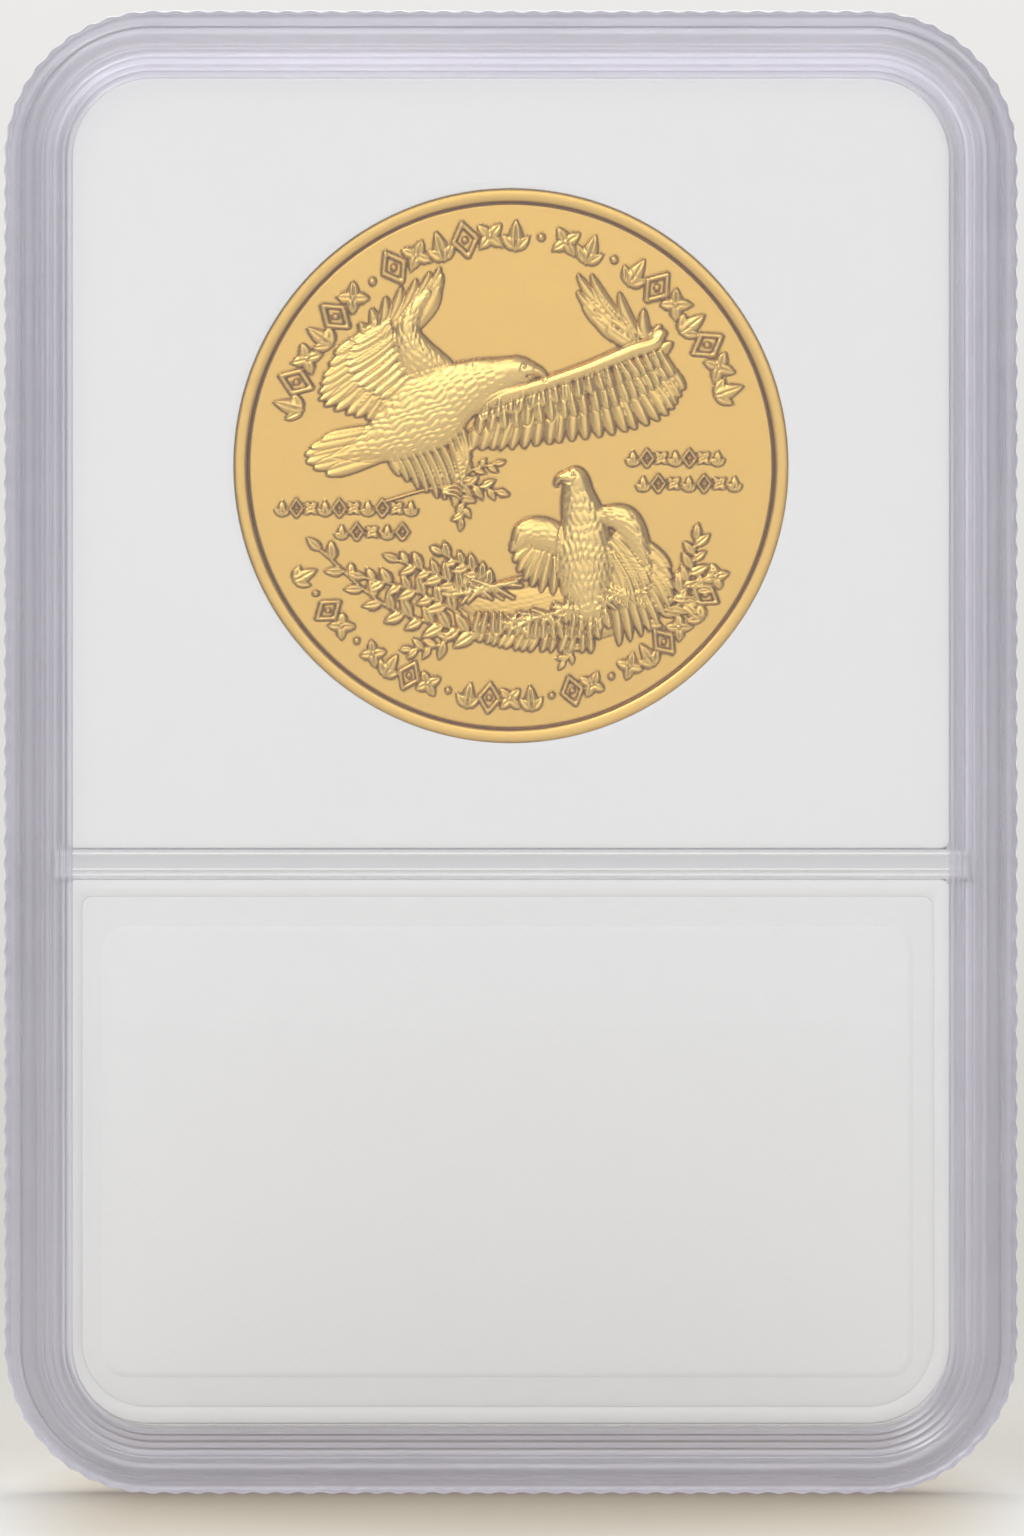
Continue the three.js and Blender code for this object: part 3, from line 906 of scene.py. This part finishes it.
def perched_bird(rel):
    """The raised far wing, the folded near wing, then the body and head."""
    tips = [(-0.1, -5), (0.5, -6.4), (1.6, -7.4), (3.2, -7.7)]
    rel.fan([(1.2, -4.4), (3.2, -4.4)], tips, 8, 0.62, 0.2, bend=-0.06)
    arm = [(3.3, -4.9, 0.7, 0.24), (2.2, -4.1, 0.95, 0.27), (1, -4, 0.85, 0.26), (0.3, -4.7, 0.4, 0.22)]
    rel.body(arm, plumage=(0.55, 0.06))
    tips = [(9.4, -6), (9.5, -8), (8.4, -9.6), (6.4, -10.6)]
    rel.fan([(6.8, -3.9), (5.2, -5.6)], tips, 11, 0.66, 0.2, bend=0.1)
    rel.fan([(6.4, -3.6), (5.6, -5)], [(8.3, -5.6), (8.1, -7.2), (6.9, -8.4)], 8, 0.6, 0.24, bend=0.1)
    arm = [(5.4, -2.9, 0.55, 0.26), (6.7, -3.2, 0.85, 0.3), (7.5, -4.4, 0.65, 0.28), (7.9, -5.6, 0.3, 0.24)]
    rel.body(arm, plumage=(0.55, 0.06))
    rel.fan([(3.4, -7.6), (5.4, -8)], [(3.2, -9.3), (4.4, -9.8), (5.8, -9.6)], 6, 0.6, 0.24, bend=0.03)
    trunk = [(3.8, -0.9, 0.7, 0.32), (4, -1.9, 1, 0.33), (4.3, -3.4, 1.35, 0.33), (4.3, -5.2, 1.65, 0.34)]
    rel.body(trunk + [(4.4, -6.8, 1.5, 0.32), (4.6, -8.3, 0.9, 0.28)], plumage=(0.6, 0.07))
    rel.body([(4, -1.25, 0.74, 0.34), (3.8, -0.75, 0.72, 0.35), (3.5, -0.7, 0.55, 0.33)], outline=0)
    beak = [(3.4, -0.62, 0.36, 0.32), (2.95, -0.72, 0.28, 0.28), (2.7, -0.98, 0.15, 0.22)]
    rel.body(beak + [(2.7, -1.22, 0.06, 0.16)])
    rel.carve([(3.4, -0.95, 0.05), (2.9, -0.9, 0.04)], 0.09)
    rel.dot((3.62, -0.5), 0.11, 0.4)


KINDS = ("leaf", "lozenge", "petals")


def ornament(rel, place, angle, size, kind):
    """One mark, standing along angle: a leaf trio, a lozenge with a pellet, a flower or a pellet."""
    up = polar(1, angle)
    side = np.array([up[1], -up[0]])

    def at(u, v):
        return place + u * size * side + v * size * up

    if kind == "lozenge":
        corners = [at(0, -0.5), at(0.36, 0), at(0, 0.5), at(-0.36, 0)]
        for a, b in zip(corners, corners[1:] + corners[:1]):
            rel.strand([(*a, 0.08 * size), (*b, 0.08 * size)], 0.17)
        rel.dot(place, 0.1 * size, 0.17)
    elif kind == "leaf":
        rel.leaf(at(0, -0.5), angle, size, size * 0.46, 0.18)
        for turn in (-0.75, 0.75):
            rel.leaf(at(0, -0.45), angle + turn, size * 0.64, size * 0.34, 0.16)
    elif kind == "petals":
        for k in range(4):
            rel.leaf(place, angle + pi / 4 + k * pi / 2, size * 0.52, size * 0.36, 0.17)
        rel.dot(place, 0.08 * size, 0.19)
    else:
        rel.dot(place, 0.12 * size, 0.16)


def mark_arc(rel, start, step, groups, radius, size):
    """Groups of ornaments along an arc, a step apart in degrees, with a pellet between groups."""
    marks = []
    for number, count in enumerate(groups):
        marks += [KINDS[(k + number) % len(KINDS)] for k in range(count)] + ["pellet"]
    for number, kind in enumerate(marks[:-1]):
        angle = radians(start) + number * radians(step)
        upright = angle if step < 0 else angle + pi
        ornament(rel, polar(radius, angle), upright, size, kind)


def mark_row(rel, first, last, y, size):
    count = round((last - first) / (0.85 * size)) + 1
    for k in range(count):
        place = np.array([first + (last - first) * k / (count - 1), y])
        ornament(rel, place, pi / 2, size, KINDS[k % len(KINDS)])


def marks(rel):
    mark_arc(rel, 165, -6.35, (6, 6, 2, 7), 13.6, 1.95)
    mark_arc(rel, 208, 5.15, (1, 2, 4, 4, 2, 7), 13.75, 1.65)
    mark_row(rel, -13.5, -5.9, -2.5, 1.05)
    mark_row(rel, -10, -6.4, -3.9, 1)
    mark_row(rel, 7.2, 12.2, 0.45, 1.05)
    mark_row(rel, 7.8, 13.2, -1.05, 1.05)


def reverse_design(rel):
    """A bird in flight with a sprig, above another on a leafy nest, inside rows of marks."""
    for part in (sprigs, nest, perched_bird, flying_bird, held_sprig, marks):
        part(rel)


def obverse_design(rel):
    """A sun with straight and waved rays, inside a wreath of two branches and a ring of beads."""
    for k in range(32):
        angle = k * pi / 16
        reach, wave = (7, 0.25) if k % 2 else (8.8, 0)
        points = []
        for t in np.linspace(0, 1, 7):
            r = 2.9 + (reach - 2.9) * t
            turn = angle + wave * sin(t * 2 * pi) / r
            points.append((*polar(r, turn), 0.34 * (1 - 0.9 * t)))
        rel.strand(points, 0.22 - 0.03 * (k % 2))
    for k in range(12):
        rel.leaf((0, 0), k * pi / 6, 2.6, 1.15, 0.27)
    rel.dot((0, 0), 0.75, 0.32)
    for side in (-1, 1):
        line = [(side * 11.2 * sin(a), -11.2 * cos(a)) for a in np.linspace(0.12, 2.75, 12)]
        rel.sprig(line, 44, 1.9, 0.85, 0.22, spread=0.6)
    for k in range(120):
        rel.dot(polar(14.6, k * pi / 60), 0.2, 0.14)
    rel.strand([(-0.8, -11.2, 0.16), (0, -11.5, 0.2), (0.8, -11.2, 0.16)], 0.26)


# ---- the coin ----


def disc_grid(count):
    """A square grid of points pressed into a unit disc, with evenly spaced points on its edge."""
    steps = np.linspace(-1, 1, count)
    a, b = np.meshgrid(steps, steps, indexing="ij")
    wide = np.abs(a) > np.abs(b)
    with np.errstate(divide="ignore", invalid="ignore"):
        angle = np.where(wide, pi / 4 * b / a, pi / 2 - pi / 4 * a / b)
    angle = np.nan_to_num(angle)
    radius = np.where(wide, a, b)
    return radius * np.cos(angle), radius * np.sin(angle)


def blurred(values, reach):
    """A box average over a square of grid points."""
    size = 2 * reach + 1
    for _ in range(2):
        padded = np.pad(values, ((reach + 1, reach), (0, 0)), mode="edge")
        total = np.cumsum(padded, axis=0)
        values = ((total[size:] - total[:-size]) / size).T
    return values


def struck_face(design):
    """One face's grid: x and y in mm as its viewer sees them, and each point's height and hollowness."""
    x, y = np.array(disc_grid(FACE_GRID)) * FIELD_RADIUS
    relief = Relief(x.ravel(), y.ravel())
    design(relief)
    height = RELIEF_GAIN * relief.height.reshape(x.shape)
    height = height * np.clip((FIELD_RADIUS - 0.1 - np.hypot(x, y)) / 0.2, 0, 1)
    # How far each point lies below its blurred surroundings: the gold paints this as shade.
    hollow = np.clip((blurred(height, 2) - height) / 0.075 - 0.12, 0, 0.8)
    return np.column_stack([x.ravel(), y.ravel()]), height.ravel(), hollow.ravel()


class Skin:
    """A coin mesh as it grows: rows of x, y, z, relief and hollow, and faces with places on the map."""

    def __init__(self):
        self.rows = np.zeros((0, 5))
        self.faces = []
        self.places = []

    def add(self, points, relief, hollow):
        """Adds points and returns their indices."""
        values = [np.broadcast_to(value, len(points)) for value in (relief, hollow)]
        self.rows = np.vstack([self.rows, np.column_stack([points, *values])])
        return np.arange(len(self.rows) - len(points), len(self.rows))

    def join(self, first, second, first_places, second_places):
        """Fills between two closed rings of points."""
        corners = (first, second, np.roll(second, -1), np.roll(first, -1))
        self.faces.append(np.stack(corners, axis=1))
        turned = [np.roll(places, -1, axis=0) for places in (second_places, first_places)]
        self.places.append(np.stack((first_places, second_places, *turned), axis=1))


# The coin's border beyond its field, as (radius, height above the rim's plane, how hollow), where hollowness
# paints shade.
RIM_PROFILE = [(15.43, -0.285, 0.5), (15.47, -0.315, 0.9), (15.53, -0.315, 1), (15.57, -0.26, 0.9)]
RIM_PROFILE += [(15.6, -0.13, 0.5), (15.63, -0.05, 0.1), (15.68, -0.012, 0), (15.78, 0, 0)]
RIM_PROFILE += [(15.98, 0.012, 0), (16.14, 0.008, 0), (16.24, 0, 0), (16.3, -0.02, 0)]
RIM_PROFILE += [(16.34, -0.06, 0)]


def on_coin(side, flat, level):
    """Points in the slab's frame, from places on a face and their level above the coin's middle."""
    return np.column_stack([side * flat[:, 0], np.full(len(flat), -side * level), COIN_CENTRE + flat[:, 1]])


def coin_side(skin, side, design):
    """One face of the coin with its rim. Returns the outermost ring, in order round the coin."""
    flat, height, hollow = struck_face(design)
    points = on_coin(side, flat, COIN_HALF - FIELD_DEPTH + height)
    relief = height / (FULL_RELIEF * RELIEF_GAIN)
    index = skin.add(points, relief, hollow).reshape(FACE_GRID, FACE_GRID)
    places = map_places(side, flat)
    corners = [index[:-1, :-1], index[1:, :-1], index[1:, 1:], index[:-1, 1:]]
    squares = np.stack(corners, axis=-1).reshape(-1, 4)
    skin.faces.append(squares)
    skin.places.append(places[squares - index[0, 0]])
    here = np.concatenate([index[:-1, 0], index[-1, :-1], index[:0:-1, -1], index[0, :0:-1]])
    here_places = places[here - index[0, 0]]
    ways = flat[here - index[0, 0]] / FIELD_RADIUS
    for radius, above, dark in RIM_PROFILE:
        spot = ways * radius
        there = skin.add(on_coin(side, spot, COIN_HALF + above), RIM_TONE, dark)
        there_places = map_places(side, spot)
        skin.join(here, there, here_places, there_places)
        here, here_places = there, there_places
    return here[np.argsort(turn_of(skin.rows[here]))]


def turn_of(points):
    """The angles of points round the coin's axis."""
    return np.arctan2(points[:, 2] - COIN_CENTRE, points[:, 0])


def map_places(side, flat):
    """Where points of a face lie on the coin's map: two discs, corner to corner."""
    return MAP_MIDDLES[side] + MAP_RADIUS * flat / COIN_RADIUS


def reeded_edge(skin, lips):
    """The coin's edge with its reeds, between the outermost rings of its two faces."""
    angle = turn_of(skin.rows[lips[0]])
    way = np.column_stack([np.cos(angle), np.sin(angle)])
    reeds = (1 - np.cos(np.arange(len(angle)) / REED_POINTS * 2 * pi)) / 2
    reach = COIN_HALF - 0.14
    rings = [lips[0]]
    for level, share in ((-reach, 0.1), (0.1 - reach, 1), (0, 1), (reach - 0.1, 1), (reach, 0.1)):
        spot = way * (COIN_RADIUS - REED_DEPTH * share * reeds)[:, None]
        # The reeds' grooves are marked hollow, which paints shade in them.
        rings.append(skin.add(on_coin(1, spot, -level), RIM_TONE, 0.5 * share * reeds))
    rings.append(lips[1])
    for band, (here, there) in enumerate(zip(rings, rings[1:])):
        side = 1 if band < 3 else -1
        on_map = [way * (side, 1) * (COIN_RADIUS + 0.1 * (3 - abs(3 - edge))) for edge in (band, band + 1)]
        skin.join(here, there, *(map_places(side, flat) for flat in on_map))


def coin():
    """The struck gold coin."""
    skin = Skin()
    lips = [coin_side(skin, 1, reverse_design), coin_side(skin, -1, obverse_design)]
    reeded_edge(skin, lips)
    piece = new_object("struck_coin", skin.rows[:, :3], np.concatenate(skin.faces).tolist(), [struck_gold()])
    layer = piece.data.uv_layers.new(name="OFBake")
    layer.data.foreach_set("uv", np.concatenate(skin.places).ravel())
    for name, values in zip(COIN_VALUES, skin.rows[:, 3:].T):
        attribute = piece.data.attributes.new(name, "FLOAT", "POINT")
        attribute.data.foreach_set("value", np.ascontiguousarray(values))
    mount(piece, "coin")


# ---- the studio ----

FLOOR_REACH = 2.2
# The painted shadow round the slab's foot: half its straight part in metres, and how much a distance in front
# and behind counts.
FOOT_HALF = 0.021
FRONT_SHARE = -0.1
BACK_SHARE = 0.2
LENS = 300
SENSOR = 36
VIEW_HEIGHT = 90.67
CAMERA_X = 0.06
CAMERA_Z = 42.81


def floor_shade(tree, axes):
    """A pale tone with a warm soft shadow painted along the slab's foot, which reaches far ahead and behind.
    """
    off_middle = sum_of(axes["X"], 0, "ABSOLUTE")
    beside = sum_of(sum_of(off_middle, FOOT_HALF, "SUBTRACT"), 0, "MAXIMUM")
    in_front = times(axes["Y"], FRONT_SHARE)
    ahead = sum_of(in_front, times(axes["Y"], BACK_SHARE), "MAXIMUM")
    squares = [sum_of(value, 2, "POWER") for value in (beside, ahead)]
    shade = times(sum_of(sum_of(*squares), 0.5, "POWER"), 100)
    shade = sum_of(shade, times(noise(tree, 9, 2), 0.02))
    return ramp(shade, [(0, (0.53, 0.45, 0.34)), (0.44, (0.62, 0.57, 0.48)), (0.9, (0.73, 0.72, 0.69))])


def floor():
    """A round studio floor that fades into the surround. Seen directly, it is darkened behind the slab by
    painted shade, and fades there.
    """
    material, tree, shader = new_material("studio_floor")
    place = place_of(tree)
    axes = axes_of(place)
    behind = times(sum_of(axes["Y"], 0.02), 5)
    direct = add_node(tree, "LightPath").outputs["Is Camera Ray"]
    # Painted shade: seen directly, the floor is darkened behind the slab.
    painted_shade_share = times(ramp(behind, [(0.02, 0), (0.12, 0.6), (0.35, 1)]), direct)
    painted_shade_tone = (0.72, 0.695, 0.65, 1)
    fill(shader, Roughness=0.9, Base_Color=mixed(painted_shade_share, floor_shade(tree, axes), painted_shade_tone, "MULTIPLY"))
    length = add_node(tree, "VectorMath", Vector=place)
    length.operation = "LENGTH"
    distance = times(length.outputs["Value"], 1 / FLOOR_REACH)
    gone = times(ramp(behind, [(0.15, 0), (0.9, 1)]), direct)
    fill(shader, Alpha=sum_of(ramp(distance, [(0.15, 1), (0.85, 0)]), gone, "SUBTRACT"))
    turns = np.linspace(0, 2 * pi, 96, endpoint=False)
    radius = FLOOR_REACH / MM
    corners = np.column_stack([radius * np.cos(turns), radius * np.sin(turns), 0 * turns])
    new_object("studio_floor", corners, [tuple(range(len(turns)))], [material])


def panel(name, place, size, power):
    """A soft rectangular lamp, aimed at the slab. Lengths in metres."""
    lamp = bpy.data.lights.new(name, "AREA")
    lamp.shape = "RECTANGLE"
    lamp.size, lamp.size_y = size
    lamp.energy = power
    stand = bpy.data.objects.new(name, lamp)
    scene.collection.objects.link(stand)
    stand.location = place
    stand.rotation_euler = (Vector((0, 0, 0.045)) - Vector(place)).to_track_quat("-Z", "Y").to_euler()
    stand.visible_camera = False


def world():
    """A pale surround: seen directly, a flat tone that is paler high up, with a darker band of painted shade
    beside the slab's lower part; as a light source, brighter above than below.
    """
    scene.world = bpy.data.worlds.new("studio")
    scene.world.use_nodes = True
    tree = scene.world.node_tree
    height = axes_of(add_node(tree, "TexCoord").outputs["Generated"])["Z"]
    up = sum_of(times(height, 0.5), 0.5)
    light = ramp(up, [(0, 0.1), (0.5, (0.18, 0.18, 0.19)), (1, 0.6)])
    # Seen directly: a darker band just below the camera's level is painted shade beside the slab's lower
    # part.
    backdrop_with_painted_shade = [(0.472, (0.75, 0.735, 0.705)), (0.479, (0.655, 0.64, 0.595)), (0.487, (0.665, 0.65, 0.61))]
    backdrop_with_painted_shade += [(0.497, (0.745, 0.735, 0.705)), (0.505, (0.745, 0.735, 0.705)), (0.53, (0.84, 0.83, 0.815))]
    direct = add_node(tree, "LightPath").outputs["Is Camera Ray"]
    fill(tree.nodes["Background"], Color=mixed(direct, light, ramp(up, backdrop_with_painted_shade)))


def camera():
    """A long lens, level with the slab's middle."""
    lens = bpy.data.cameras.new("camera")
    lens.lens = LENS
    lens.sensor_width = SENSOR
    lens.clip_start = 0.05
    lens.clip_end = 100
    distance = VIEW_HEIGHT * LENS / SENSOR
    eye = bpy.data.objects.new("camera", lens)
    scene.collection.objects.link(eye)
    eye.location = (CAMERA_X * MM, -(COIN_HALF + distance) * MM, CAMERA_Z * MM)
    eye.rotation_euler = (radians(90), 0, 0)
    scene.camera = eye


def studio():
    floor()
    world()
    camera()
    panel("back", (0, 1.1, 0.62), (1.6, 0.5), 6.6)
    panel("back_side", (-0.62, 1.1, 0.08), (0.5, 0.6), 1.3)
    panel("back_side", (0.62, 1.1, 0.08), (0.5, 0.6), 2.1)
    panel("top", (0, 0.2, 0.8), (0.5, 0.35), 3)
    panel("key", (-0.4, -0.7, 0.7), (0.4, 0.4), 2.7)
    panel("high_fill", (-0.05, -1.75, 0.72), (1.2, 0.8), 5.2)
    panel("front_fill", (0.05, -1.9, 0.15), (1.5, 0.8), 2.9)
    scene.view_settings.view_transform = "Standard"


case()
divider()
insert()
label_board()
labels()
coin()
studio()
